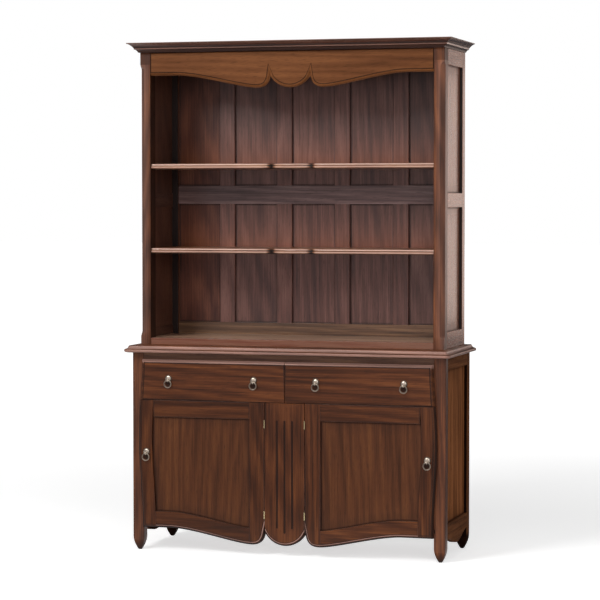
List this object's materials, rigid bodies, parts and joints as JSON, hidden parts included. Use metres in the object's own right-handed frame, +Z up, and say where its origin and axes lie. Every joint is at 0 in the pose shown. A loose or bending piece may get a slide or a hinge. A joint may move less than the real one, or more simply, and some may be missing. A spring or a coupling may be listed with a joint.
{
  "type": "dresser bookcase",
  "caption": "Dresser bookcase: open shelf rack with moulded cornice and cupid's-bow frieze on a cupboard base with drawers, panelled doors, fluted pilaster and swinging ring pulls.",
  "frame": {"origin": "on the floor, below the middle of the base top's outline", "axes": "+Z up, -Y out of the front, +X to the viewer's right"},
  "size_m": [1.416, 0.51, 2.15],
  "materials": {
    "mahogany": "polished reddish-brown mahogany",
    "mahogany_panel": "polished mahogany, upright grain",
    "mahogany_inside": "dark satin mahogany",
    "drawer_lining": "plain unpolished wood",
    "nickel": "worn polished nickel",
    "brass": "polished brass"
  },
  "bodies": {
    "carcase": {"front_leg_left": "mahogany", "base_side_frame_left": "mahogany", "rack_front_post_left": "mahogany", "rack_side_frame_left": "mahogany", "base_side_panel_left": "mahogany_panel", "rack_side_panel_lower_left": "mahogany_panel", "rack_side_panel_upper_left": "mahogany_panel", "hinge_leaf_fixed_upper_left": "brass", "hinge_leaf_fixed_lower_left": "brass", "front_leg_right": "mahogany", "base_side_frame_right": "mahogany", "rack_front_post_right": "mahogany", "rack_side_frame_right": "mahogany", "base_side_panel_right": "mahogany_panel", "rack_side_panel_lower_right": "mahogany_panel", "rack_side_panel_upper_right": "mahogany_panel", "hinge_leaf_fixed_upper_right": "brass", "hinge_leaf_fixed_lower_right": "brass", "base_top": "mahogany", "front_top_rail": "mahogany", "centre_pilaster": "mahogany", "cornice": "mahogany", "rack_top_board": "mahogany", "frieze": "mahogany", "upper_shelf": "mahogany", "lower_shelf": "mahogany", "rack_floor": "mahogany", "drawer_deck": "mahogany_inside", "cupboard_floor": "mahogany_inside", "drawer_partition": "mahogany_inside", "centre_post": "mahogany_inside", "base_back": "mahogany_inside", "rack_back_frame": "mahogany_inside", "rack_back_panel": "mahogany_inside"},
    "drawer_left": {"drawer_front_left": "mahogany", "drawer_box_left": "drawer_lining", "drawer_bottom_left": "drawer_lining", "pull_rose_drawer_left_inner": "nickel", "pull_rose_drawer_left_outer": "nickel"},
    "door_left": {"door_frame_left": "mahogany", "door_panel_left": "mahogany_panel", "hinge_leaf_door_upper_left": "brass", "hinge_leaf_door_lower_left": "brass", "pull_rose_door_left": "nickel"},
    "ring_drawer_left_inner": {"pull_ring_drawer_left_inner": "nickel"},
    "ring_drawer_left_outer": {"pull_ring_drawer_left_outer": "nickel"},
    "ring_door_left": {"pull_ring_door_left": "nickel"},
    "drawer_right": {"drawer_front_right": "mahogany", "drawer_box_right": "drawer_lining", "drawer_bottom_right": "drawer_lining", "pull_rose_drawer_right_inner": "nickel", "pull_rose_drawer_right_outer": "nickel"},
    "door_right": {"door_frame_right": "mahogany", "door_panel_right": "mahogany_panel", "hinge_leaf_door_upper_right": "brass", "hinge_leaf_door_lower_right": "brass", "pull_rose_door_right": "nickel"},
    "ring_drawer_right_inner": {"pull_ring_drawer_right_inner": "nickel"},
    "ring_drawer_right_outer": {"pull_ring_drawer_right_outer": "nickel"},
    "ring_door_right": {"pull_ring_door_right": "nickel"}
  },
  "joints": [
    {"name": "drawer_left_slide", "type": "slide", "parent": "carcase", "child": "drawer_left", "axis": [0, -1, 0], "range_m": [0, 0.3]},
    {"name": "door_left_hinge", "type": "hinge", "parent": "carcase", "child": "door_left", "pos_m": [-0.0872, -0.2343, 0.365], "axis": [0, 0, 1], "range_deg": [0, 90]},
    {"name": "drawer_right_slide", "type": "slide", "parent": "carcase", "child": "drawer_right", "axis": [0, -1, 0], "range_m": [0, 0.3]},
    {"name": "door_right_hinge", "type": "hinge", "parent": "carcase", "child": "door_right", "pos_m": [0.0872, -0.2343, 0.365], "axis": [0, 0, -1], "range_deg": [0, 90]},
    {"name": "ring_drawer_left_inner_swing", "type": "hinge", "parent": "drawer_left", "child": "ring_drawer_left_inner", "pos_m": [-0.135, -0.2424, 0.7277], "axis": [-1, 0, 0], "range_deg": [-8, 140]},
    {"name": "ring_drawer_left_outer_swing", "type": "hinge", "parent": "drawer_left", "child": "ring_drawer_left_outer", "pos_m": [-0.511, -0.2424, 0.7277], "axis": [-1, 0, 0], "range_deg": [-8, 140]},
    {"name": "ring_door_left_swing", "type": "hinge", "parent": "door_left", "child": "ring_door_left", "pos_m": [-0.61017, -0.2424, 0.4165], "axis": [-1, 0, 0], "range_deg": [-8, 140]},
    {"name": "ring_drawer_right_inner_swing", "type": "hinge", "parent": "drawer_right", "child": "ring_drawer_right_inner", "pos_m": [0.135, -0.2424, 0.7277], "axis": [-1, 0, 0], "range_deg": [-8, 140]},
    {"name": "ring_drawer_right_outer_swing", "type": "hinge", "parent": "drawer_right", "child": "ring_drawer_right_outer", "pos_m": [0.511, -0.2424, 0.7277], "axis": [-1, 0, 0], "range_deg": [-8, 140]},
    {"name": "ring_door_right_swing", "type": "hinge", "parent": "door_right", "child": "ring_door_right", "pos_m": [0.61017, -0.2424, 0.4165], "axis": [-1, 0, 0], "range_deg": [-8, 140]}
  ]
}
